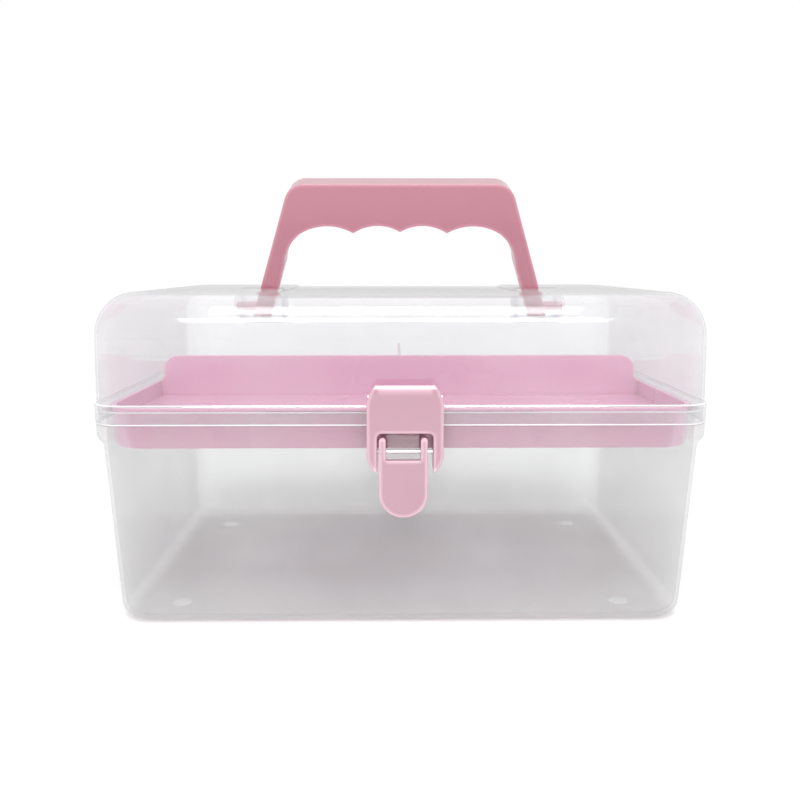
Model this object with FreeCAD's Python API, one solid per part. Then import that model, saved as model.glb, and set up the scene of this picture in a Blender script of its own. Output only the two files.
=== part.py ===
import FreeCAD, Part
import math
import os

os.makedirs("parts", exist_ok=True)
V = FreeCAD.Vector

# A clear sewing box: tub, domed lid on two rear hinges, swing handle, front latch and one lift-out tray.
# Millimetres. X runs left to right, Y from the latch to the hinges, Z up. The origin is the bottom centre.

# ---- overall sizes, measured over the lid's skirt ----
box_width = 276.0
box_depth = 184.0
plan_corner = 14.0  # corner radius of the skirt seen from above
clearance_loose = 0.5  # gap between pieces that only pass each other
clearance_close = 0.3  # gap between faces that nearly touch when the box is shut
clearance_shaft = 0.05  # radial gap of every pin in its hole

# ---- tub ----
foot_height = 0.8
foot_radius = 5.0
foot_from_side = 30.0
foot_from_front = 31.0
tub_wall = 1.6
base_round = 7.0  # rounding between the floor and the walls
neck_z = 84.0  # where the tapering walls end
neck_corner_less = 0.5  # the neck's corners are this much tighter than the skirt's
neck_inset = 2.4  # how far the walls stand inside the skirt there
wall_draft = math.radians(2.4)
shoulder_rise = 6.0  # from the neck to where the shoulder has its full width
shoulder_band = 5.0  # straight band above that
shoulder_inset = 0.25
rim_height = 6.0  # upright rim inside the lid's skirt
rim_wall = 2.9

# ---- lid ----
lid_wall = 1.2
skirt_over_rim = 2.6  # the skirt ends in a narrow ledge this far above the tub's rim
ledge_height = 1.0
ledge_inset = 1.0
side_height = 29.3  # lid's side between the skirt and the crown
crown_inset = 1.6
crown_run = 14.5  # the rounding is a quarter ellipse this wide
crown_rise = 19.9  # and this high
saddle_depth = 1.2  # the top is lower between the handle's legs
saddle_half = 62.0
saddle_ramp = 3.0
pad_half = 18.6  # raised patch behind the latch
pad_height = 5.0
pad_thick = 0.5
pad_corner = 2.5

# ---- handle ----
lean_deg = 16.0  # how far it leans forward on its stop
pivot_depth = 9.8  # pivot axis below the lid's top
leg_front = 5.5  # from the pivot axis to the front face
foot_round = 5.5
foot_overrun = 1.0  # the legs are drawn this far past the foot's round
grip_depth = 18.0
grip_low = 40.0  # height above the pivot where the full depth begins
grip_top = 65.6
grip_half = 48.5  # half of the straight top edge
shoulder_half = 58.2
shoulder_height = 58.4
leg_slope = 0.33  # sideways splay of the legs
leg_width = 9.8
leg_straight = 24.0  # height where the leg's inner edge starts to curve
leg_thinning = 0.6
shoulder_round_side = 2.9
shoulder_round_down = 2.6
scallop_pitch = 24.0
scallop_cusp = 41.0
scallop_top = 44.6
middle_cusp_rise = 0.6
middle_scallop_rise = 0.2
corner_round_side = 5.6
corner_round_down = 6.3
corner_half = 51.5
corner_height = 40.6
handle_skin = 2.4
handle_rib = 1.6
handle_solid_foot = 3.0  # the hollow starts this far above the foot's round
handle_pin_radius = 2.5
handle_pin_reach = 2.6  # how far the pin goes past the well's outer face

# ---- wells in the lid for the handle's feet ----
well_side_gap = 7.0  # beside the legs, for the pin to spring out sideways
well_back_extra = 1.8
well_floor_gap = 1.5
well_corner = 2.0
well_boss_radius = 5.5
well_boss_length = 2.6

# ---- tray ----
tray_gap = 0.7  # around the tray inside the tub's rim
tray_wall = 1.5
tray_corner = 16.0  # rounder than the tub's, so that fingers reach past it
tray_depth = 17.0
tray_taper = 0.7
tray_flange = 1.4
flange_play = 0.1
flange_gap = 1.9  # between the flange and the lid's side
flange_stop_long = 78.0  # the flange is four ledges: the long ones stop this far from the box's ends
flange_stop_short = 20.0
front_floor_rise = 10.5  # the front compartment is shallow
rear_floor = 1.6
grip_wall = 1.6
grip_wall_height = 15.4  # above the tub's rim
grip_wall_in = 3.5  # its ends stand this far inside the tray's sides
grip_wall_foot = 2.0  # height of the slope at its ends
grip_wall_round = 8.0
divider_wall = 1.2
divider_short = 9.0  # it stops this far from the rear wall
divider_round = 6.0

# ---- hinges at the back ----
hinge_from_middle = 70.0
hinge_behind = 4.0  # axis behind the skirt
hinge_below_shoulder = 1.0
knuckle_radius = 3.4
lid_knuckle = 14.0
tub_knuckle = 6.0
bore_overrun = 2.0  # drills run this far past both ends
hinge_pin_radius = 1.2

# ---- latch ----
latch_x = 0.5
hasp_play = 0.8  # the hasp has slid this far along its pin
ear_width = 4.5  # frame beside the window
ear_taper = 3.2
ear_bulge = 0.7
ear_bulge_share = 0.45
hasp_wall = 2.2
hasp_corner = 8.5
hasp_barrel = 5.6
hasp_pin_radius = 1.2
hasp_pin_rise = 5.2  # above the skirt's top
hasp_pin_out = 5.4  # hinge axis in front of the skirt
hasp_back_gap = 0.7
window_gap = 1.5  # beside the lever's arms
window_drop = 14.8  # top of the window below the hasp's pin
window_round = 2.0
window_step = 3.0
ear_drop = 31.6
ear_curve = 8.8  # height of the rounded lower ends
lug_from_middle = 9.0
lug_width = 3.5
lug_radius = 2.8
lever_half = 10.5
lever_skin = 2.4
lever_wall = 2.0
lever_front_out = 11.2  # front face in front of the skirt
lever_top_drop = 2.8  # plate's top edge below its pin
lever_drop = 28.1
lever_slope = 0.8
arm_rise = 7.1
arm_width = 3.0
arm_depth = 3.4
arm_overlap = 5.0
arm_round_share = 0.45
lever_pin_radius = 0.95
lever_pin_out = 5.6
lever_pin_drop = 23.7  # below the hasp's pin
lever_eye = 2.4
catch_gap = 0.7  # between the catch and the lever's arms
catch_height = 6.2
catch_round = 1.0

# ---- values that follow from those above ----
tiny = 0.01
shoulder_z = neck_z + shoulder_rise
shoulder_top_z = shoulder_z + shoulder_band
rim_top_z = shoulder_top_z + rim_height
rim_inset = lid_wall + clearance_loose
rim_inner_inset = rim_inset + rim_wall
skirt_top_z = rim_top_z + skirt_over_rim
crown_start_z = skirt_top_z + side_height
crown_corner = plan_corner - crown_inset
well_top_z = crown_start_z + crown_rise
pivot_z = well_top_z - pivot_depth
tray_bottom_z = rim_top_z - tray_depth
front_floor_z = tray_bottom_z + front_floor_rise
rear_floor_z = tray_bottom_z + rear_floor
grip_wall_top_z = rim_top_z + grip_wall_height
hinge_y = box_depth / 2 + hinge_behind
hinge_z = shoulder_top_z - hinge_below_shoulder
hasp_pin_z = skirt_top_z + hasp_pin_rise
hasp_y = -(box_depth / 2 + hasp_pin_out)
window_half = lever_half + window_gap
window_top_z = hasp_pin_z - window_drop
hasp_half = window_half + ear_width
ear_bottom_z = hasp_pin_z - ear_drop
ear_curve_z = ear_bottom_z + ear_curve
lever_pin_z = hasp_pin_z - lever_pin_drop
lever_top_z = lever_pin_z - lever_top_drop
lever_bottom_z = lever_pin_z - lever_drop
arm_top_z = lever_pin_z + arm_rise
latch_y = -(box_depth / 2 + lever_pin_out)
catch_half = lever_half - arm_width - catch_gap
catch_low_z = lever_pin_z + lever_pin_radius + clearance_close + clearance_shaft
catch_top_z = catch_low_z + catch_height
tub_front_y = -(box_depth / 2 - shoulder_inset)


def rounded_wire(inset, z, corner):
    """Closed outline at height z: the skirt's rectangle moved inwards by inset, with round corners."""
    hx = box_width / 2 - inset
    hy = box_depth / 2 - inset
    r = max(corner, 0.5)
    k = r * (1 - math.sqrt(0.5))
    spots = [(hx, -hy), (hx, hy), (-hx, hy), (-hx, -hy)]
    edges = []
    last = None
    first = None
    for i, (cx, cy) in enumerate(spots):
        sx = math.copysign(1, cx)
        sy = math.copysign(1, cy)
        on_x = V(cx - sx * r, cy, z)
        on_y = V(cx, cy - sy * r, z)
        mid = V(cx - sx * k, cy - sy * k, z)
        start, end = (on_x, on_y) if i % 2 == 0 else (on_y, on_x)
        if last is not None:
            edges.append(Part.LineSegment(last, start).toShape())
        else:
            first = start
        edges.append(Part.Arc(start, mid, end).toShape())
        last = end
    edges.append(Part.LineSegment(last, first).toShape())
    return Part.Wire(edges)


def stack(levels, smooth=False):
    """Solid through outlines given as (z, inset, corner radius), lowest first."""
    return Part.makeLoft([rounded_wire(inset, z, corner) for z, inset, corner in levels], True, not smooth)


def box(x0, x1, y0, y1, z0, z1):
    return Part.makeBox(x1 - x0, y1 - y0, z1 - z0, V(x0, y0, z0))


def rod(x0, x1, y, z, radius):
    """Round bar along X."""
    return Part.makeCylinder(radius, x1 - x0, V(x0, y, z), V(1, 0, 0))


def prism(edges, direction):
    """Solid swept straight from a flat closed outline."""
    return Part.Face(Part.Wire(edges)).extrude(direction)


def polyline(points):
    """Straight edges through the points, back to the first."""
    return [Part.LineSegment(a, b).toShape() for a, b in zip(points, points[1:] + points[:1])]


def along(shape, axis, above_z):
    """Straight edges that run along one axis (x, y or z) and lie wholly above a height."""
    found = []
    for edge in shape.Edges:
        size = {"x": edge.BoundBox.XLength, "y": edge.BoundBox.YLength, "z": edge.BoundBox.ZLength}
        length = size.pop(axis)
        if length > tiny > max(size.values()) and edge.BoundBox.ZMin > above_z - tiny:
            found.append(edge)
    return found


def save(name, shape):
    shape = shape.removeSplitter()
    solids = shape.Solids
    if len(solids) == 1:
        shape = solids[0]
    shape.exportStep(f"parts/{name}.step")
    print(f"{name}: {len(solids)} solid, valid {shape.isValid()}, {shape.Volume / 1000:.2f} cm3")


def tub_inset(z):
    """Inset of the tub's outer wall at height z, below the neck."""
    return neck_inset + (neck_z - z) * math.tan(wall_draft)


def base_levels(bottom_z, wall, round_radius):
    """Rounded bottom edge, then the drafted wall up to the neck, as far inside the tub as wall."""
    levels = []
    for step in range(7):
        angle = math.radians(15 * step)
        z = bottom_z + round_radius * (1 - math.cos(angle))
        inset = tub_inset(z) + wall + round_radius * (1 - math.sin(angle))
        levels.append((z, inset, plan_corner - wall))
    return levels


def shoulder_levels():
    levels = []
    for step in range(7):
        share = step / 6
        ease = (1 - math.cos(math.pi * share)) / 2
        z = neck_z + (shoulder_z - neck_z) * share
        levels.append((z, neck_inset + (shoulder_inset - neck_inset) * ease, plan_corner - neck_corner_less))
    return levels


def knuckle(x0, x1, side_z):
    """Hinge barrel with its web to the box: side_z is +1 for the lid above the axis, -1 for the tub below."""
    barrel = rod(x0, x1, hinge_y, hinge_z, knuckle_radius)
    wall_y = box_depth / 2 - lid_wall / 2
    low, high = sorted((hinge_z, hinge_z + side_z * knuckle_radius))
    if side_z > 0:
        low = shoulder_top_z + clearance_close
        high = low + knuckle_radius
    return barrel.fuse(box(x0, x1, wall_y, hinge_y, low, high))


def bore(x, length, y, z, radius):
    return rod(x - length / 2, x + length / 2, y, z, radius)


def make_tub():
    neck_corner = plan_corner - neck_corner_less
    outer_low = stack(base_levels(foot_height, 0.0, base_round) + [(neck_z, neck_inset, neck_corner)])
    shoulder = stack(shoulder_levels() + [(shoulder_top_z, shoulder_inset, neck_corner)])
    rim = stack([(z, rim_inset, plan_corner - rim_inset) for z in (shoulder_top_z, rim_top_z)])
    floor_z = foot_height + tub_wall
    inner_round = base_round - tub_wall / 2
    inner_corner = plan_corner - rim_inner_inset
    inner_low = stack(base_levels(floor_z, tub_wall, inner_round) + [(neck_z, rim_inner_inset, inner_corner)])
    inner_high = stack([(z, rim_inner_inset, inner_corner) for z in (neck_z, rim_top_z + 1)])
    tub = outer_low.fuse([shoulder, rim]).cut(inner_low.fuse(inner_high))
    for sx in (-1, 1):
        for sy in (-1, 1):
            place = V(sx * (box_width / 2 - foot_from_side), sy * (box_depth / 2 - foot_from_front), 0)
            tub = tub.fuse(Part.makeCylinder(foot_radius, foot_height + tub_wall / 2, place))
    for side in (-1, 1):
        centre = side * hinge_from_middle
        start = lid_knuckle / 2 + clearance_close
        for x0 in (centre + start, centre - start - tub_knuckle):
            tub = tub.fuse(knuckle(x0, x0 + tub_knuckle, -1))
        length = lid_knuckle + 2 * (tub_knuckle + bore_overrun)
        tub = tub.cut(bore(centre, length, hinge_y, hinge_z, hinge_pin_radius + clearance_shaft))
    return tub


def make_catch(tub):
    """Block on the tub's front that the lever's pin snaps under."""
    front_y = latch_y + lever_pin_radius + clearance_close
    x0 = latch_x - catch_half
    x1 = latch_x + catch_half
    block = box(x0, x1, front_y, tub_front_y + tub_wall, catch_low_z, catch_top_z)
    front_top = [e for e in along(block, "x", catch_top_z) if e.BoundBox.YMax < front_y + tiny]
    return block.makeFillet(catch_round, front_top).cut(tub)


def crown_levels(wall):
    """Quarter ellipse from the lid's side up to its flat top, a wall's thickness inside when wall is set."""
    levels = []
    for step in range(9):
        angle = math.pi / 2 * step / 8
        z = crown_start_z + (crown_rise - wall) * math.sin(angle)
        inset = crown_inset + wall + (crown_run - wall / 2) * (1 - math.cos(angle))
        levels.append((z, inset, crown_corner - wall - 0.25 * crown_run * (1 - math.cos(angle))))
    return levels


def lid_body(wall):
    """The lid's upper part as a full solid, outside for wall 0 and inside for the wall thickness."""
    foot_z = skirt_top_z + ledge_height - wall
    low_inset = ledge_inset + wall
    foot = (foot_z, low_inset, plan_corner - low_inset)
    sides = stack([foot, (crown_start_z, crown_inset + wall, crown_corner - wall)])
    body = sides.fuse(stack(crown_levels(wall), True))
    top_z = crown_start_z + crown_rise - wall
    low = saddle_half
    high = saddle_half + saddle_ramp
    y = -box_depth
    points = [
        V(-high, y, top_z),
        V(-low, y, top_z - saddle_depth),
        V(low, y, top_z - saddle_depth),
        V(high, y, top_z),
        V(high, y, top_z + 5),
        V(-high, y, top_z + 5),
    ]
    return body.cut(prism(polyline(points), V(0, 2 * box_depth, 0)))


def skirt_solid(wall):
    bottom = shoulder_top_z + clearance_close - (1 if wall else 0)
    top = skirt_top_z + (ledge_height - wall if wall else 0)
    levels = [(bottom, wall, plan_corner - wall), (top, wall, plan_corner - wall)]
    if not wall:
        levels.append((skirt_top_z + ledge_height * 0.7, ledge_inset * 0.3, plan_corner))
        levels.append((skirt_top_z + ledge_height, ledge_inset, plan_corner - ledge_inset))
    return stack(levels)


def lid_lug(x):
    """Ear that carries the hasp's pin: a round eye with a neck that drops back to the lid's wall."""
    eye = rod(x - lug_width / 2, x + lug_width / 2, hasp_y, hasp_pin_z, lug_radius)
    wall_y = -(box_depth / 2 - ledge_inset - lid_wall / 2)
    drop = wall_y - hasp_y
    points = [
        V(x - lug_width / 2, hasp_y, hasp_pin_z + lug_radius),
        V(x - lug_width / 2, wall_y, hasp_pin_z + lug_radius - drop * 1.1),
        V(x - lug_width / 2, wall_y, hasp_pin_z - lug_radius - drop * 0.6),
        V(x - lug_width / 2, hasp_y, hasp_pin_z - lug_radius),
    ]
    return eye.fuse(prism(polyline(points), V(lug_width, 0, 0)))


def latch_pad():
    """Thin raised patch of the lid's front wall that frames the hasp."""
    z0 = skirt_top_z
    z1 = skirt_top_z + pad_height
    y = -(box_depth / 2 - ledge_inset) - pad_thick
    depth = lid_wall
    x0 = latch_x - pad_half
    x1 = latch_x + pad_half
    pad = box(x0, x1, y, y + depth, z0, z1)
    return pad.makeFillet(pad_corner, along(pad, "y", z1))


def leg_outer(height):
    """Outer side of the handle's leg at a height above the pivot axis."""
    return shoulder_half + (shoulder_height - height) * leg_slope


well_inner = leg_outer(pivot_depth) - leg_width - well_corner
well_outer = leg_outer(0) + well_side_gap
well_front = -(math.sin(math.radians(lean_deg)) * pivot_depth + leg_front + clearance_loose + clearance_close)
well_back = -well_front + well_back_extra
well_floor_z = pivot_z - foot_round - well_floor_gap


def well(side):
    """Pocket in the lid's top for one foot of the handle: (outside, inside, pin boss, pin hole)."""
    x0, x1 = sorted((side * well_inner, side * well_outer))
    outside = box(
        x0 - lid_wall,
        x1 + lid_wall,
        well_front - lid_wall,
        well_back + lid_wall,
        well_floor_z - lid_wall,
        well_top_z - saddle_depth - lid_wall / 2,
    )
    inside = box(x0, x1, well_front, well_back, well_floor_z, well_top_z + 1)
    inside = inside.makeFillet(well_corner, along(inside, "z", well_floor_z))
    outside = outside.makeFillet(well_corner + lid_wall, along(outside, "z", well_floor_z - lid_wall))
    face = side * (well_outer + lid_wall / 2)
    ends = sorted((face, face + side * (well_boss_length + lid_wall / 2)))
    boss = rod(ends[0], ends[1], 0, pivot_z, well_boss_radius)
    ends = sorted((side * (well_outer - 1), side * (well_outer + lid_wall + well_boss_length + 1)))
    hole = rod(ends[0], ends[1], 0, pivot_z, handle_pin_radius + clearance_shaft)
    return outside, inside, boss, hole


def make_lid():
    lid = lid_body(0.0).fuse(skirt_solid(0.0)).fuse(latch_pad())
    lid = lid.cut(lid_body(lid_wall).fuse(skirt_solid(lid_wall)))
    for side in (-1, 1):
        outside, inside, boss, hole = well(side)
        lid = lid.fuse(outside).fuse(boss).cut(inside).cut(hole)
    for side in (-1, 1):
        centre = side * hinge_from_middle
        lid = lid.fuse(knuckle(centre - lid_knuckle / 2, centre + lid_knuckle / 2, 1))
        length = lid_knuckle + 2 * bore_overrun
        lid = lid.cut(bore(centre, length, hinge_y, hinge_z, hinge_pin_radius + clearance_shaft))
    for side in (-1, 1):
        x = latch_x + side * lug_from_middle
        lid = lid.fuse(lid_lug(x))
        length = lug_width + 2 * bore_overrun
        lid = lid.cut(bore(x, length, hasp_y, hasp_pin_z, hasp_pin_radius + clearance_shaft))
    return lid


def handle_outline(inset):
    """Handle's front outline, upright, with the pivot axis at height 0."""
    foot = -foot_round - foot_overrun
    right = [
        (leg_outer(foot), foot),
        (shoulder_half, shoulder_height),
        (grip_half, grip_top),
        (leg_outer(foot) - leg_width, foot),
        (leg_outer(leg_straight) - leg_width + leg_thinning, leg_straight),
        (corner_half, corner_height),
        (scallop_pitch, scallop_cusp),
        (0.0, scallop_cusp + middle_cusp_rise),
    ]
    r = [V(x, 0, z) for x, z in right]
    left = [V(-x, 0, z) for x, z in right]
    edges = []
    for p, s in ((r, 1), (left, -1)):
        shoulder = V(s * (shoulder_half - shoulder_round_side), 0, grip_top - shoulder_round_down)
        corner = V(s * (corner_half + corner_round_side), 0, corner_height - corner_round_down)
        outer_scallop = V(s * (corner_half + scallop_pitch) / 2, 0, scallop_top)
        inner_scallop = V(s * scallop_pitch / 2, 0, scallop_top + middle_scallop_rise)
        edges.append(Part.LineSegment(p[0], p[1]).toShape())
        edges.append(Part.Arc(p[1], shoulder, p[2]).toShape())
        edges.append(Part.LineSegment(p[0], p[3]).toShape())
        edges.append(Part.LineSegment(p[3], p[4]).toShape())
        edges.append(Part.Arc(p[4], corner, p[5]).toShape())
        edges.append(Part.Arc(p[5], outer_scallop, p[6]).toShape())
        edges.append(Part.Arc(p[6], inner_scallop, p[7]).toShape())
    edges.append(Part.LineSegment(left[2], r[2]).toShape())
    wire = Part.Wire(Part.__sortEdges__(edges))
    if inset:
        wire = wire.makeOffset2D(-inset)
    return wire


def make_handle():
    back = grip_depth - leg_front
    front_face = -leg_front
    slab = Part.Face(handle_outline(0)).extrude(V(0, 2 * grip_depth, 0))
    slab.translate(V(0, front_face, 0))
    reach = box_width / 2
    side_points = [
        V(-reach, front_face, 0),
        V(-reach, front_face, grip_top + 1),
        V(-reach, back, grip_top + 1),
        V(-reach, back, grip_low),
        V(-reach, foot_round, foot_round),
        V(-reach, foot_round, 0),
    ]
    side = prism(polyline(side_points), V(2 * reach, 0, 0))
    side = side.fuse(rod(-reach, reach, 0, 0, foot_round))
    handle = slab.common(side)
    pocket = Part.Face(handle_outline(handle_skin)).extrude(V(0, 2 * grip_depth, 0))
    pocket.translate(V(0, front_face + handle_skin, 0))
    hollow_low = foot_round + handle_solid_foot
    pocket = pocket.common(box(-reach, reach, -grip_depth, 2 * grip_depth, hollow_low, grip_top))
    for x in (0.0, scallop_pitch, -scallop_pitch, corner_half, -corner_half):
        rib = box(x - handle_rib / 2, x + handle_rib / 2, -grip_depth, 2 * grip_depth, 0, grip_top)
        pocket = pocket.cut(rib)
    handle = handle.cut(pocket)
    pin_end = well_outer + lid_wall + handle_pin_reach - clearance_loose
    for side in (-1, 1):
        ends = sorted((side * (leg_outer(0) - leg_width / 2), side * pin_end))
        handle = handle.fuse(rod(ends[0], ends[1], 0, 0, handle_pin_radius))
    handle.rotate(V(0, 0, 0), V(1, 0, 0), lean_deg)
    handle.translate(V(0, 0, pivot_z))
    return handle


def make_tray():
    top_inset = rim_inner_inset + tray_gap
    corner = tray_corner
    flange_low = rim_top_z + flange_play
    flange_high = flange_low + tray_flange
    flange_inset = ledge_inset + lid_wall + flange_gap
    low_inset = top_inset + tray_taper
    outer = stack([(tray_bottom_z, low_inset, corner), (flange_high, top_inset, corner)])
    flange_corner = corner + top_inset - flange_inset
    flange = stack([(z, flange_inset, flange_corner) for z in (flange_low, flange_high)])
    half_x = box_width / 2
    half_y = box_depth / 2
    long_x = half_x - flange_stop_long
    short_y = half_y - flange_stop_short
    ledges = box(-long_x, long_x, -half_y, half_y, flange_low, flange_high)
    ledges = ledges.fuse(box(-half_x, half_x, -short_y, short_y, flange_low, flange_high))
    body = outer.fuse(flange.common(ledges))
    wall_front = -grip_wall / 2
    wall_back = grip_wall / 2
    inner_corner = corner - tray_wall

    def pocket(z0, z1, x0, x1, y0, y1):
        """Space inside the tray's walls between two heights, cut down to one compartment."""
        inset = low_inset + tray_wall
        full = stack([(z0, inset, inner_corner), (z1, inset - tray_taper / 2, inner_corner)])
        return full.common(box(x0, x1, y0, y1, z0, z1))

    above = flange_high + 1
    front = pocket(front_floor_z, above, -half_x, half_x, -half_y, wall_front)
    under = pocket(tray_bottom_z - 1, front_floor_z - tray_wall, -half_x, half_x, -half_y, wall_front)
    rear_right = pocket(rear_floor_z, above, divider_wall / 2, half_x, wall_back, half_y)
    rear_left = pocket(rear_floor_z, above, -half_x, -divider_wall / 2, wall_back, half_y)
    tray = body.cut(front.fuse([under, rear_right, rear_left]))
    base_z = front_floor_z
    foot = half_x - low_inset
    h = foot - grip_wall_in
    slope_z = flange_high + grip_wall_foot
    flat = grip_wall_round
    k = flat * (1 - math.sqrt(0.5))
    y = wall_front
    profile = [
        Part.LineSegment(V(-foot, y, base_z), V(foot, y, base_z)).toShape(),
        Part.LineSegment(V(foot, y, base_z), V(foot, y, flange_low)).toShape(),
        Part.LineSegment(V(foot, y, flange_low), V(h, y, slope_z)).toShape(),
        Part.LineSegment(V(h, y, slope_z), V(h, y, grip_wall_top_z - flat)).toShape(),
        Part.Arc(
            V(h, y, grip_wall_top_z - flat),
            V(h - k, y, grip_wall_top_z - k),
            V(h - flat, y, grip_wall_top_z),
        ).toShape(),
        Part.LineSegment(V(h - flat, y, grip_wall_top_z), V(-h + flat, y, grip_wall_top_z)).toShape(),
        Part.Arc(
            V(-h + flat, y, grip_wall_top_z),
            V(-h + k, y, grip_wall_top_z - k),
            V(-h, y, grip_wall_top_z - flat),
        ).toShape(),
        Part.LineSegment(V(-h, y, grip_wall_top_z - flat), V(-h, y, slope_z)).toShape(),
        Part.LineSegment(V(-h, y, slope_z), V(-foot, y, flange_low)).toShape(),
        Part.LineSegment(V(-foot, y, flange_low), V(-foot, y, base_z)).toShape(),
    ]
    grip = prism(profile, V(0, grip_wall, 0))
    x = -divider_wall / 2
    d = divider_round * (1 - math.sqrt(0.5))
    end_y = half_y - low_inset - tray_wall - divider_short
    fin = [
        Part.LineSegment(V(x, 0, rear_floor_z), V(x, end_y, rear_floor_z)).toShape(),
        Part.LineSegment(V(x, end_y, rear_floor_z), V(x, end_y, grip_wall_top_z - divider_round)).toShape(),
        Part.Arc(
            V(x, end_y, grip_wall_top_z - divider_round),
            V(x, end_y - d, grip_wall_top_z - d),
            V(x, end_y - divider_round, grip_wall_top_z),
        ).toShape(),
        Part.LineSegment(V(x, end_y - divider_round, grip_wall_top_z), V(x, 0, grip_wall_top_z)).toShape(),
        Part.LineSegment(V(x, 0, grip_wall_top_z), V(x, 0, rear_floor_z)).toShape(),
    ]
    return tray.fuse(grip).fuse(prism(fin, V(divider_wall, 0, 0)))


def make_hasp():
    """Latch cover: a barrel around its hinge pin, a front plate, and two ears that carry the lever's pin."""
    front_y = hasp_y - hasp_barrel
    back_y = -(box_depth / 2 + hasp_back_gap)
    x = latch_x + hasp_play
    top_z = hasp_pin_z + hasp_barrel
    reach = 2 * hasp_half
    block = box(x - reach, x + reach, front_y, back_y, ear_bottom_z - 1, hasp_pin_z)
    side = block.fuse(rod(x - reach, x + reach, hasp_y, hasp_pin_z, hasp_barrel))
    h = hasp_half
    k = hasp_corner * (1 - math.sqrt(0.5))
    tip = h - ear_taper
    y = front_y - 1
    bulge_z = ear_bottom_z + ear_curve * ear_bulge_share
    outline = [
        Part.LineSegment(V(x - h, y, ear_curve_z), V(x - h, y, top_z - hasp_corner)).toShape(),
        Part.Arc(
            V(x - h, y, top_z - hasp_corner), V(x - h + k, y, top_z - k), V(x - h + hasp_corner, y, top_z)
        ).toShape(),
        Part.LineSegment(V(x - h + hasp_corner, y, top_z), V(x + h - hasp_corner, y, top_z)).toShape(),
        Part.Arc(
            V(x + h - hasp_corner, y, top_z), V(x + h - k, y, top_z - k), V(x + h, y, top_z - hasp_corner)
        ).toShape(),
        Part.LineSegment(V(x + h, y, top_z - hasp_corner), V(x + h, y, ear_curve_z)).toShape(),
        Part.Arc(
            V(x + h, y, ear_curve_z), V(x + h - ear_bulge, y, bulge_z), V(x + tip, y, ear_bottom_z)
        ).toShape(),
        Part.LineSegment(V(x + tip, y, ear_bottom_z), V(x - tip, y, ear_bottom_z)).toShape(),
        Part.Arc(
            V(x - tip, y, ear_bottom_z), V(x - h + ear_bulge, y, bulge_z), V(x - h, y, ear_curve_z)
        ).toShape(),
    ]
    hasp = side.common(prism(outline, V(0, 40, 0)))
    inner = hasp_half - hasp_wall
    hollow = box(x - inner, x + inner, front_y + hasp_wall, 0, window_top_z, hasp_pin_z)
    hollow = hollow.fuse(rod(x - inner, x + inner, hasp_y, hasp_pin_z, hasp_barrel - hasp_wall))
    step_z = window_top_z - window_step
    hollow = hollow.fuse(box(x - window_half, x + window_half, front_y + hasp_wall, 0, step_z, top_z))
    hollow = hollow.fuse(box(x - inner, x + inner, hasp_y, 0, window_top_z, top_z + 1))
    window = box(x - window_half, x + window_half, y - 1, 0, ear_bottom_z - 2, window_top_z)
    window = window.makeFillet(window_round, along(window, "y", window_top_z))
    hasp = hasp.cut(hollow).cut(window)
    hasp = hasp.cut(rod(x - reach, x + reach, hasp_y, hasp_pin_z, hasp_pin_radius + clearance_shaft))
    return hasp.cut(rod(x - reach, x + reach, latch_y, lever_pin_z, lever_pin_radius + clearance_shaft))


def lever_outline(inset, top_z):
    """Front outline of the lever's round-ended body, from top_z down."""
    h = lever_half - inset
    centre_z = lever_bottom_z + lever_half
    y = -box_depth
    return [
        Part.LineSegment(V(latch_x + h, y, centre_z), V(latch_x + h, y, top_z)).toShape(),
        Part.LineSegment(V(latch_x + h, y, top_z), V(latch_x - h, y, top_z)).toShape(),
        Part.LineSegment(V(latch_x - h, y, top_z), V(latch_x - h, y, centre_z)).toShape(),
        Part.Arc(V(latch_x - h, y, centre_z), V(latch_x, y, centre_z - h), V(latch_x + h, y, centre_z)).toShape(),
    ]


def make_lever():
    front_y = -(box_depth / 2 + lever_front_out)
    skin_y = front_y + lever_skin
    plate = prism(lever_outline(0.0, lever_top_z), V(0, box_depth, 0))
    arms = []
    for side in (-1, 1):
        x0, x1 = sorted((latch_x + side * lever_half, latch_x + side * (lever_half - arm_width)))
        arm = box(x0, x1, -box_depth, 0, lever_top_z - arm_overlap, arm_top_z)
        arms.append(arm.makeFillet(arm_width * arm_round_share, along(arm, "y", arm_top_z)))
    shape = plate.fuse(arms)
    x = latch_x - hasp_half
    points = [
        V(x, front_y, lever_bottom_z - 1),
        V(x, front_y, arm_top_z + 1),
        V(x, front_y + arm_depth, arm_top_z + 1),
        V(x, front_y + arm_depth, lever_pin_z + lever_eye),
        V(x, latch_y, lever_pin_z + lever_eye),
        V(x, latch_y + lever_eye, lever_pin_z),
        V(x, skin_y + lever_slope, lever_bottom_z + lever_half / 2),
        V(x, skin_y, lever_bottom_z - 1),
    ]
    side = prism(polyline(points), V(2 * hasp_half, 0, 0))
    side = side.fuse(rod(x, x + 2 * hasp_half, latch_y, lever_pin_z, lever_eye))
    shape = shape.common(side)
    hollow = prism(lever_outline(lever_wall, lever_top_z - lever_wall), V(0, box_depth, 0))
    hollow.translate(V(0, skin_y + box_depth, 0))
    throat_x = lever_half - arm_width
    throat_z = lever_top_z - lever_wall
    throat = box(latch_x - throat_x, latch_x + throat_x, front_y + arm_depth, 0, throat_z, arm_top_z)
    shape = shape.cut(hollow).cut(throat)
    return shape.cut(rod(x, x + 2 * hasp_half, latch_y, lever_pin_z, lever_pin_radius + clearance_shaft))


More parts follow.
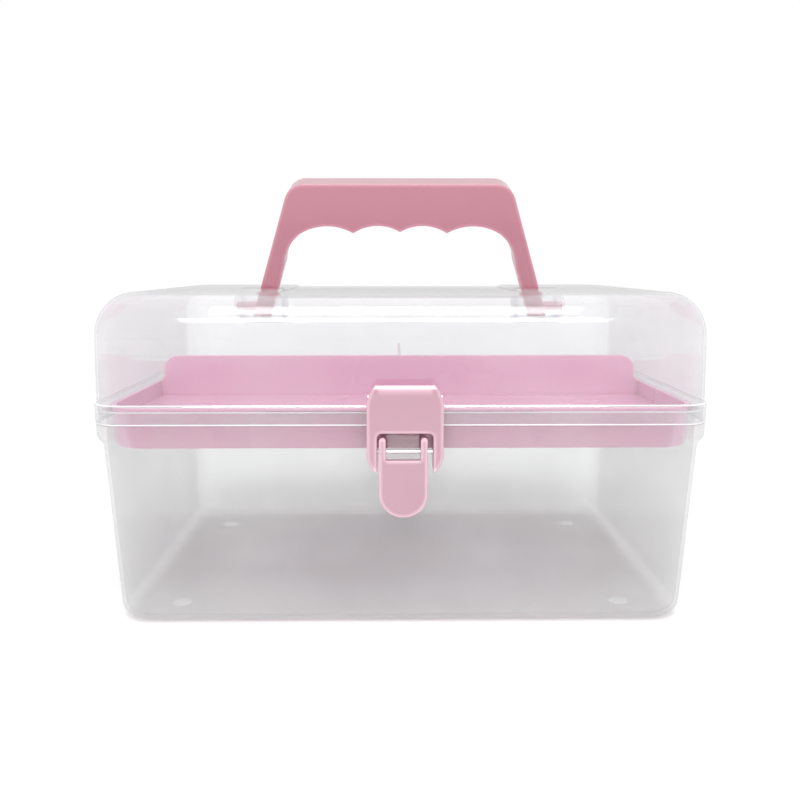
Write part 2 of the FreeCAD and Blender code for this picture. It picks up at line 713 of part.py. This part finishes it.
def make_pins():
    x = latch_x + hasp_play
    reach = hasp_half - clearance_loose
    save("hasp_pin", rod(x - reach, x + reach, hasp_y, hasp_pin_z, hasp_pin_radius))
    ear = hasp_half - ear_width / 3
    save("lever_pin", rod(x - ear, x + ear, latch_y, lever_pin_z, lever_pin_radius))
    length = lid_knuckle + 2 * (tub_knuckle + clearance_close)
    for name, side in (("left", -1), ("right", 1)):
        save(f"hinge_pin_{name}", bore(side * hinge_from_middle, length, hinge_y, hinge_z, hinge_pin_radius))


tub_solid = make_tub()
save("tub", tub_solid)
save("latch_catch", make_catch(tub_solid))
save("lid", make_lid())
save("handle", make_handle())
save("tray", make_tray())
save("latch_hasp", make_hasp())
save("latch_lever", make_lever())
make_pins()
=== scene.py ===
import bpy
import bmesh
import math
import numpy as np
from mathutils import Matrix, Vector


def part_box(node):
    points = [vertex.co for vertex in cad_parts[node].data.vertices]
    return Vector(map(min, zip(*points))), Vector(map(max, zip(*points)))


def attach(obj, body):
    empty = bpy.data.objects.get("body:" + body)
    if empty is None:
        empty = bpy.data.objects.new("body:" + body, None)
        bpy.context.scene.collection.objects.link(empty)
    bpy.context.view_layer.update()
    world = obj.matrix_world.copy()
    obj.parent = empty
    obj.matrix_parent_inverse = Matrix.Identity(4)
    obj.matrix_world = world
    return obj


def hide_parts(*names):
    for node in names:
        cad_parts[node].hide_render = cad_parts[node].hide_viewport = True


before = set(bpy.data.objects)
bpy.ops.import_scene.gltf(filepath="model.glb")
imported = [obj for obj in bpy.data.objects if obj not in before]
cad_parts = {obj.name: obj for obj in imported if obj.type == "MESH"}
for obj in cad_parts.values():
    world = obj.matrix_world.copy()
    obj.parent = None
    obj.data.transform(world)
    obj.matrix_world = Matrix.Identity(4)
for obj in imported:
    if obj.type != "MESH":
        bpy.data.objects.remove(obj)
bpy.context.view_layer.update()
print("frame loaded")

colourA, colourB, colourOut = 6, 7, 2  # sockets of a Mix node that mixes colours


def newMaterial(name):
    # empty material, its join function and a function that adds a node with its values set on the sockets
    material = bpy.data.materials.new(name)
    material.use_nodes = True
    tree = material.node_tree
    tree.nodes.clear()

    def add(kind, **values):
        node = tree.nodes.new("ShaderNode" + kind)
        for key, value in values.items():
            socket = node.inputs.get(key.replace("_", " "))
            if socket is None:
                setattr(node, key, value)
            else:
                socket.default_value = value
        return node

    return material, tree.links.new, add


def ranged(join, add, value, start=(0.0, 1.0), end=(0.0, 1.0), **kind):
    # a value carried from the start span to the end span
    node = add("MapRange", **kind)
    for socket, number in zip(("From Min", "From Max", "To Min", "To Max"), (*start, *end)):
        node.inputs[socket].default_value = number
    join(value, node.inputs["Value"])
    return node.outputs["Result"]


def noise(join, add, place, **values):
    # noise in the piece's own coordinates
    node = add("TexNoise", **values)
    join(place.outputs["Object"], node.inputs["Vector"])
    return node.outputs["Fac"]


def bumpy(join, add, height, strength, distance):
    node = add("Bump", Strength=strength, Distance=distance)
    join(height, node.inputs["Height"])
    return node.outputs["Normal"]


def shareOf(join, add, share, first, second):
    # the second shader laid over the first by a share of 0 to 1
    node = add("MixShader")
    join(share, node.inputs["Fac"])
    join(first.outputs[0], node.inputs[1])
    join(second.outputs[0], node.inputs[2])
    return node


# clear plastic, for all clear walls: lengths in metres
clearGrain = {
    "driftScale": 22.0,
    "driftDetail": 3.0,
    "driftRoughness": 0.55,
    "driftSpan": (0.35, 0.70),
    "edgeBlend": 0.30,
    "waveScale": 9.0,
    "waveDetail": 1.0,
    "waveHeight": 0.002,
    "mirrorBlend": 0.5,
    "mirrorPower": 5.0,
}

clearLooks = {
    "lid": {
        "tint": (0.964, 0.967, 0.969, 1.0),
        "hazeColour": (0.90, 0.91, 0.92, 1.0),
        "haze": 0.035,
        "cloud": 0.03,
        "edgeHaze": 0.32,
        "roughness": 0.05,
        "mirrorLeast": 0.04,
        "mirrorMost": 0.75,
        "ripple": 0.10,
    },
    "tub": {
        "tint": (0.940, 0.943, 0.942, 1.0),
        "hazeColour": (0.80, 0.81, 0.81, 1.0),
        "haze": 0.06,
        "cloud": 0.05,
        "edgeHaze": 0.34,
        "roughness": 0.09,
        "mirrorLeast": 0.04,
        "mirrorMost": 0.75,
        "ripple": 0.12,
    },
    # catch: the pinkish tint and pinkish haze colour are painted light, pink bounced from the pink latch
    # round the clear block
    "catch": {
        "tint": (0.995, 0.94, 0.955, 1.0),
        "hazeColour": (0.92, 0.70, 0.76, 1.0),
        "haze": 0.16,
        "cloud": 0.04,
        "edgeHaze": 0.30,
        "roughness": 0.12,
        "mirrorLeast": 0.08,
        "mirrorMost": 0.60,
        "ripple": 0.05,
    },
    # edge: milky white for the edge beads, a painted highlight standing in for the light that the cut edges
    # gather
    "edge": {
        "tint": (0.98, 0.98, 0.98, 1.0),
        "hazeColour": (0.93, 0.93, 0.94, 1.0),
        "haze": 0.62,
        "cloud": 0.20,
        "edgeHaze": 0.25,
        "roughness": 0.12,
        "mirrorLeast": 0.05,
        "mirrorMost": 0.60,
        "ripple": 0.05,
    },
}


def clearPlastic(name, look):
    # a clear film with a thin white haze that clouds unevenly and thickens where the wall turns edge-on,
    # under a mirror coat whose share is least + (most - least) * facing ^ 5, alike on both faces of a wall
    material, join, add = newMaterial(name)
    g = clearGrain
    place = add("TexCoord")
    grain = {"Scale": g["driftScale"], "Detail": g["driftDetail"], "Roughness": g["driftRoughness"]}
    drift = noise(join, add, place, **grain)
    cloud = ranged(join, add, drift, g["driftSpan"], (look["haze"], look["haze"] + look["cloud"]))
    turn = add("LayerWeight", Blend=g["edgeBlend"])
    edge = add("Math", operation="MULTIPLY")
    edge.inputs[1].default_value = look["edgeHaze"]
    join(turn.outputs["Facing"], edge.inputs[0])
    milk = add("Math", operation="ADD", use_clamp=True)
    join(cloud, milk.inputs[0])
    join(edge.outputs[0], milk.inputs[1])
    film = add("BsdfTransparent", Color=look["tint"])
    haze = add("BsdfDiffuse", Color=look["hazeColour"])
    body = shareOf(join, add, milk.outputs[0], film, haze)
    wave = noise(join, add, place, Scale=g["waveScale"], Detail=g["waveDetail"])
    gloss = add("BsdfGlossy", Roughness=look["roughness"])
    join(bumpy(join, add, wave, look["ripple"], g["waveHeight"]), gloss.inputs["Normal"])
    slant = add("LayerWeight", Blend=g["mirrorBlend"])
    rise = add("Math", operation="POWER")
    rise.inputs[1].default_value = g["mirrorPower"]
    join(slant.outputs["Facing"], rise.inputs[0])
    mirror = add("Math", operation="MULTIPLY_ADD")
    mirror.inputs[1].default_value = look["mirrorMost"] - look["mirrorLeast"]
    mirror.inputs[2].default_value = look["mirrorLeast"]
    join(rise.outputs[0], mirror.inputs[0])
    coat = shareOf(join, add, mirror.outputs[0], body, gloss)
    join(coat.outputs[0], add("OutputMaterial").inputs["Surface"])
    return material


# pink plastic, for all pink pieces: lengths in metres
pinkGrain = {
    "flowScale": 14.0,
    "flowDetail": 2.0,
    "flowDistortion": 0.6,
    "rays": 8,
    # the span over which the painted edge highlight is laid
    "rimHighlightSpan": (0.55, 0.98),
    # reach and span of the painted shade laid in tight gaps
    "gapReach": 0.003,
    "gapSpan": (0.25, 0.80),
    "satinScale": 900.0,
    "satinDetail": 2.0,
    "satinStrength": 0.06,
    "satinHeight": 0.0002,
    "smoother": 0.05,
    "rougher": 0.08,
    "ior": 1.49,
    "glowShare": 0.20,
    "glowRadius": (1.0, 0.30, 0.42),
    "glowScale": 0.003,
}

# the gap colour is painted shade: a deeper, darker pink laid in tight gaps, where light is shut in between
# pink walls
# the rim colour is a painted highlight: a paler pink laid on thin edges where the light catches them, over
# the rim reach
pinkLooks = {
    "handle": {
        "pale": (0.425, 0.160, 0.210, 1.0),
        "deep": (0.375, 0.134, 0.180, 1.0),
        "rim": (0.54, 0.24, 0.30, 1.0),
        "rimReach": 0.0018,
        "gap": (0.40, 0.09, 0.14, 1.0),
        "roughness": 0.36,
        "coat": 0.90,
        "coatIor": 1.5,
        "coatRoughness": 0.16,
    },
    "tray": {
        "pale": (0.74, 0.40, 0.56, 1.0),
        "deep": (0.67, 0.345, 0.50, 1.0),
        "rim": (0.82, 0.52, 0.66, 1.0),
        "rimReach": 0.001,
        "gap": (0.60, 0.24, 0.38, 1.0),
        "roughness": 0.26,
        "coat": 0.80,
        "coatIor": 1.5,
        "coatRoughness": 0.12,
    },
    "latch": {
        "pale": (0.40, 0.205, 0.265, 1.0),
        "deep": (0.35, 0.170, 0.225, 1.0),
        "rim": (0.64, 0.40, 0.48, 1.0),
        "rimReach": 0.0019,
        "gap": (0.50, 0.07, 0.13, 1.0),
        "roughness": 0.34,
        "coat": 1.0,
        "coatIor": 1.9,
        "coatRoughness": 0.24,
    },
}


def blended(join, add, share, first, second):
    # a colour that goes from the first to the second by a share; each is a socket or a fixed colour
    node = add("Mix", data_type="RGBA")
    join(share, node.inputs["Factor"])
    for place, colour in ((colourA, first), (colourB, second)):
        if isinstance(colour, bpy.types.NodeSocket):
            join(colour, node.inputs[place])
        else:
            node.inputs[place].default_value = colour
    return node.outputs[colourOut]


def pinkPlastic(name, look):
    # moulded plastic: a soft drift between two pinks, with a painted highlight that makes thin edges paler
    # and painted shade that makes tight gaps a deeper pink, a fine satin grain and a little light passed
    # through thin walls
    material, join, add = newMaterial(name)
    g = pinkGrain
    place = add("TexCoord")
    swirl = {"Scale": g["flowScale"], "Detail": g["flowDetail"], "Distortion": g["flowDistortion"]}
    flow = noise(join, add, place, **swirl)
    colour = blended(join, add, flow, look["pale"], look["deep"])
    # painted highlight: thin edges, found by rays cast inward, get a paler pink where the light catches them
    thin = add("AmbientOcclusion", Distance=look["rimReach"], inside=True, samples=g["rays"])
    rimHighlightShare = ranged(join, add, thin.outputs["AO"], g["rimHighlightSpan"], (1.0, 0.0))
    colour = blended(join, add, rimHighlightShare, colour, look["rim"])
    # painted shade: tight gaps, found by rays cast outward, get a deeper, darker pink where light is shut in
    # between pink walls
    gap = add("AmbientOcclusion", Distance=g["gapReach"], samples=g["rays"])
    unshadedShare = ranged(join, add, gap.outputs["AO"], g["gapSpan"])
    colour = blended(join, add, unshadedShare, look["gap"], colour)
    grain = noise(join, add, place, Scale=g["satinScale"], Detail=g["satinDetail"])
    satin = bumpy(join, add, grain, g["satinStrength"], g["satinHeight"])
    sheen = (look["roughness"] - g["smoother"], look["roughness"] + g["rougher"])
    shader = add("BsdfPrincipled", IOR=g["ior"])
    join(colour, shader.inputs["Base Color"])
    join(ranged(join, add, flow, end=sheen), shader.inputs["Roughness"])
    join(satin, shader.inputs["Normal"])
    shader.inputs["Coat Weight"].default_value = look["coat"]
    shader.inputs["Coat Roughness"].default_value = look["coatRoughness"]
    shader.inputs["Coat IOR"].default_value = look["coatIor"]
    shader.inputs["Subsurface Weight"].default_value = g["glowShare"]
    shader.inputs["Subsurface Radius"].default_value = g["glowRadius"]
    shader.inputs["Subsurface Scale"].default_value = g["glowScale"]
    join(shader.outputs[0], add("OutputMaterial").inputs["Surface"])
    return material


wireLook = {
    "colour": (0.78, 0.77, 0.76, 1.0),
    "roughness": (0.22, 0.42),
    "grainScale": 400.0,
    "grainDetail": 2.0,
}


def steelWire(name, look):
    # bright wire, its roughness a little uneven
    material, join, add = newMaterial(name)
    place = add("TexCoord")
    drawn = noise(join, add, place, Scale=look["grainScale"], Detail=look["grainDetail"])
    shader = add("BsdfPrincipled", Metallic=1.0, Base_Color=look["colour"])
    join(ranged(join, add, drawn, end=look["roughness"]), shader.inputs["Roughness"])
    join(shader.outputs[0], add("OutputMaterial").inputs["Surface"])
    return material


def dress(node, material):
    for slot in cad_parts[node].material_slots:
        slot.material = material


handlePink = pinkPlastic("handlePink", pinkLooks["handle"])
trayPink = pinkPlastic("trayPink", pinkLooks["tray"])
latchPink = pinkPlastic("latchPink", pinkLooks["latch"])
wire = steelWire("wireSteel", wireLook)
dress("tub", clearPlastic("tubClear", clearLooks["tub"]))
dress("latch_catch", clearPlastic("catchClear", clearLooks["catch"]))
dress("lid", clearPlastic("lidClear", clearLooks["lid"]))
for node in ("hasp_pin", "lever_pin", "hinge_pin_left", "hinge_pin_right"):
    dress(node, wire)
print("materials made")

mergeDistance = 1e-5


def mergedCopy(node, name, flatAngle=None):
    # the node's own shape with its loose triangles joined, and faces as flat as flatAngle made one
    work = bmesh.new()
    work.from_mesh(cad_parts[node].data)
    bmesh.ops.remove_doubles(work, verts=work.verts, dist=mergeDistance)
    if flatAngle is not None:
        bmesh.ops.dissolve_limit(work, angle_limit=flatAngle, verts=work.verts, edges=work.edges)
    mesh = bpy.data.meshes.new(name)
    work.to_mesh(mesh)
    work.free()
    return mesh


def placePiece(name, mesh):
    piece = bpy.data.objects.new(name, mesh)
    bpy.context.collection.objects.link(piece)
    return piece


# handle and tray: edges rolled over, as a mould leaves them; edge is the radius in metres
moulded = {
    "handle": {"body": "handle", "finish": handlePink, "edge": 0.0009},
    "tray": {"body": "tray", "finish": trayPink, "edge": 0.0004},
}
edgeRoll = {
    "flatAngle": math.radians(0.6),
    "cornerAngle": math.radians(32),
    "segments": 3,
}


def softEdges(node, plan):
    # the node's own shape with every corner sharper than cornerAngle rolled to the radius edge
    mesh = mergedCopy(node, node + "Soft", edgeRoll["flatAngle"])
    mesh.materials.clear()
    mesh.materials.append(plan["finish"])
    piece = placePiece(node + "Soft", mesh)
    bevel = piece.modifiers.new("roll", "BEVEL")
    bevel.width = plan["edge"]
    bevel.segments = edgeRoll["segments"]
    bevel.limit_method = "ANGLE"
    bevel.angle_limit = edgeRoll["cornerAngle"]
    mesh.shade_smooth()
    even = piece.modifiers.new("even", "WEIGHTED_NORMAL")
    even.keep_sharp = True
    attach(piece, plan["body"])
    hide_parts(node)


# latch: fat soft edges, so these two are smoothed all over; cell and rise in metres
latchPieces = {
    "latch_hasp": {"body": "hasp", "cell": 0.00032, "rounds": 9, "fuller": 0.20, "rise": 0.0015},
    "latch_lever": {"body": "lever", "cell": 0.00030, "rounds": 6, "fuller": 0.0, "rise": 0.0},
}
latchDome = {
    "relaxing": 0.5,
    "upShare": 0.5,  # how much of the swelling also goes up
    "liftUp": 0.005,  # the rise is whole this far above the hinge axis
    "liftOut": 0.003,  # and this far in front of it
}


def softMould(node, plan):
    # the node's shape refilled with small cells and relaxed, then its upper front swollen about the hinge:
    # out grows by the share fuller * sin(2 a) ^ 2, where a is the angle above level,
    # and the top lifts by rise * t ^ 2 * (3 - 2 t), where t goes from 0 at the axis to 1
    d = latchDome
    piece = placePiece(node + "Mould", mergedCopy(node, node + "Rough"))
    cells = piece.modifiers.new("cells", "REMESH")
    cells.mode = "VOXEL"
    cells.voxel_size = plan["cell"]
    relax = piece.modifiers.new("relax", "SMOOTH")
    relax.factor = d["relaxing"]
    relax.iterations = plan["rounds"]
    shaped = piece.evaluated_get(bpy.context.evaluated_depsgraph_get())
    mesh = bpy.data.meshes.new_from_object(shaped)
    piece.modifiers.clear()
    piece.data = mesh
    flat = np.empty(len(mesh.vertices) * 3)
    mesh.vertices.foreach_get("co", flat)
    points = flat.reshape(-1, 3)
    low, high = [np.array(corner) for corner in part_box("hasp_pin")]
    axis = (low + high) / 2
    out = axis[1] - points[:, 1]
    up = points[:, 2] - axis[2]
    angle = np.arctan2(up, out)
    grow = np.where((out > 0) & (up > 0), plan["fuller"] * np.sin(2 * angle) ** 2, 0.0)
    points[:, 1] -= out * grow
    t = np.clip(up / d["liftUp"], 0, 1) * np.clip(out / d["liftOut"], 0, 1)
    points[:, 2] += up * grow * d["upShare"] + plan["rise"] * t * t * (3 - 2 * t)
    mesh.vertices.foreach_set("co", points.ravel())
    mesh.materials.clear()
    mesh.materials.append(latchPink)
    mesh.shade_smooth()
    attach(piece, plan["body"])
    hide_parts(node)


for node, plan in moulded.items():
    softEdges(node, plan)
for node, plan in latchPieces.items():
    softMould(node, plan)
print("moulded pieces made")

# cut edges of the clear walls gather the light: thin milky beads along them are a painted highlight for that
# light, in metres;
# z is the height, inset the distance inside the skirt, corner the corner radius, wide and high the half sizes
beads = {
    "lidSkirtHighlightBead": {
        "body": "lid",
        "z": 0.09562,
        "inset": 0.00042,
        "corner": 0.0136,
        "wide": 0.00036,
        "high": 0.00030,
    },
    "lidLedgeHighlightBead": {
        "body": "lid",
        "z": 0.10405,
        "inset": 0.00062,
        "corner": 0.0134,
        "wide": 0.00040,
        "high": 0.00034,
    },
    "tubRimHighlightBead": {
        "body": "tub",
        "z": 0.10085,
        "inset": 0.00225,
        "corner": 0.0118,
        "wide": 0.00032,
        "high": 0.00028,
    },
}
beadPath = {
    "halfWidth": 0.138,  # of the skirt
    "halfDepth": 0.092,
    "cornerSteps": 14,
    "sectionSteps": 10,
}


def edgeBead(name, plan, finish):
    # an oval section carried round a rectangle with round corners: at the turn t and the section angle a,
    # place = corner centre + normal(t) * (corner + wide * cos a), and height = z + high * sin a
    p = beadPath
    quarter = np.linspace(0, np.pi / 2, p["cornerSteps"])
    turn = (np.arange(4) * np.pi / 2)[:, None] + quarter[None, :]
    halfX = p["halfWidth"] - plan["inset"] - plan["corner"]
    halfY = p["halfDepth"] - plan["inset"] - plan["corner"]
    centreX = halfX * np.array([1, -1, -1, 1])[:, None]
    centreY = halfY * np.array([1, 1, -1, -1])[:, None]
    turn, centreX, centreY = [a.reshape(-1, 1) for a in np.broadcast_arrays(turn, centreX, centreY)]
    around = np.linspace(0, 2 * np.pi, p["sectionSteps"], endpoint=False)[None, :]
    reach = plan["corner"] + plan["wide"] * np.cos(around)
    x = centreX + np.cos(turn) * reach
    y = centreY + np.sin(turn) * reach
    z = np.broadcast_to(plan["z"] + plan["high"] * np.sin(around), x.shape)
    points = np.stack((x, y, z), axis=-1).reshape(-1, 3)
    rows, columns = x.shape
    i, j = np.meshgrid(np.arange(rows), np.arange(columns), indexing="ij")
    here = i * columns
    ahead = (i + 1) % rows * columns
    nextJ = (j + 1) % columns
    faces = np.stack((here + j, ahead + j, ahead + nextJ, here + nextJ), axis=-1).reshape(-1, 4)
    mesh = bpy.data.meshes.new(name)
    mesh.from_pydata(points.tolist(), [], faces.tolist())
    mesh.materials.append(finish)
    mesh.shade_smooth()
    piece = placePiece(name, mesh)
    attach(piece, plan["body"])


# painted highlight: a milky white finish for the edge beads
edgeHighlightClear = clearPlastic("edgeHighlightClear", clearLooks["edge"])
for name, plan in beads.items():
    edgeBead(name, plan, edgeHighlightClear)
print("edge beads made")

# camera, lights and floor, in metres, degrees, millimetres of lens and watts
studio = {
    "eye": (-0.0044, -0.4394, 0.1648),
    "lookDown": 9.47,
    "lookRight": 0.59,
    "lens": 36.35,
    "sensor": 36.0,
    "floorSize": 6.0,
    "floorColour": (0.88, 0.88, 0.88, 1.0),
    "floorGlow": (0.06, 0.27),  # near and far, so that the floor stays as pale as the room
    "glowSpan": (0.35, 1.7),
    "roomColour": (1.0, 1.0, 1.0, 1.0),
    "roomStrength": 0.85,  # what lights the box
    "backdropStrength": 1.0,  # what the eye sees behind it
    "strips": {
        "topStrip": {"raise": 60.0, "away": 1.0, "long": 0.62, "wide": 0.36, "power": 6.5},
        "frontStrip": {"raise": 35.5, "away": 1.0, "long": 0.72, "wide": 0.12, "power": 3.4},
    },
    "stripAim": (0.0, -0.088, 0.147),
    "throughWalls": 48,  # clear faces that a ray may pass
    "bounces": 24,
    "mirrorBounces": 12,
}


def makeFloor(s):
    bpy.ops.mesh.primitive_plane_add(size=s["floorSize"], location=(0, 0, 0))
    floor = bpy.context.object
    floor.name = "paleFloor"
    material, join, add = newMaterial("palePaint")
    paint = add("BsdfDiffuse", Color=s["floorColour"])
    away = add("VectorMath", operation="LENGTH")
    join(add("TexCoord").outputs["Object"], away.inputs[0])
    smooth = {"interpolation_type": "SMOOTHSTEP"}
    fade = ranged(join, add, away.outputs["Value"], s["glowSpan"], s["floorGlow"], **smooth)
    glow = add("Emission")
    join(fade, glow.inputs["Strength"])
    both = add("AddShader")
    join(paint.outputs[0], both.inputs[0])
    join(glow.outputs[0], both.inputs[1])
    join(both.outputs[0], add("OutputMaterial").inputs["Surface"])
    floor.data.materials.append(material)


def makeRoom(s):
    world = bpy.data.worlds.new("paleRoom")
    bpy.context.scene.world = world
    world.use_nodes = True
    tree = world.node_tree
    sky = tree.nodes["Background"]
    sky.inputs["Color"].default_value = s["roomColour"]
    seen = tree.nodes.new("ShaderNodeLightPath")
    level = tree.nodes.new("ShaderNodeMapRange")
    level.inputs["To Min"].default_value = s["roomStrength"]
    level.inputs["To Max"].default_value = s["backdropStrength"]
    tree.links.new(seen.outputs["Is Camera Ray"], level.inputs["Value"])
    tree.links.new(level.outputs["Result"], sky.inputs["Strength"])


def makeStrip(name, strip, aim):
    # a soft strip light in front of the box, raised by an angle and turned to face the aim
    data = bpy.data.lights.new(name, "AREA")
    data.shape = "RECTANGLE"
    data.size = strip["long"]
    data.size_y = strip["wide"]
    data.energy = strip["power"]
    lamp = placePiece(name, data)
    lift = math.radians(strip["raise"])
    lamp.location = aim + strip["away"] * np.array((0.0, -math.cos(lift), math.sin(lift)))
    lamp.rotation_euler = (math.pi / 2 - lift, 0.0, 0.0)
    lamp.visible_camera = False


def makeCamera(s):
    camera = bpy.data.cameras.new("camera")
    camera.lens = s["lens"]
    camera.sensor_width = s["sensor"]
    eye = placePiece("camera", camera)
    eye.location = s["eye"]
    eye.rotation_euler = (math.radians(90 - s["lookDown"]), 0.0, math.radians(-s["lookRight"]))
    bpy.context.scene.camera = eye


makeFloor(studio)
makeRoom(studio)
for name, strip in studio["strips"].items():
    makeStrip(name, strip, np.array(studio["stripAim"]))
makeCamera(studio)
bpy.context.scene.view_settings.view_transform = "Standard"
bpy.context.scene.cycles.transparent_max_bounces = studio["throughWalls"]
bpy.context.scene.cycles.max_bounces = studio["bounces"]
bpy.context.scene.cycles.glossy_bounces = studio["mirrorBounces"]
print("studio made")
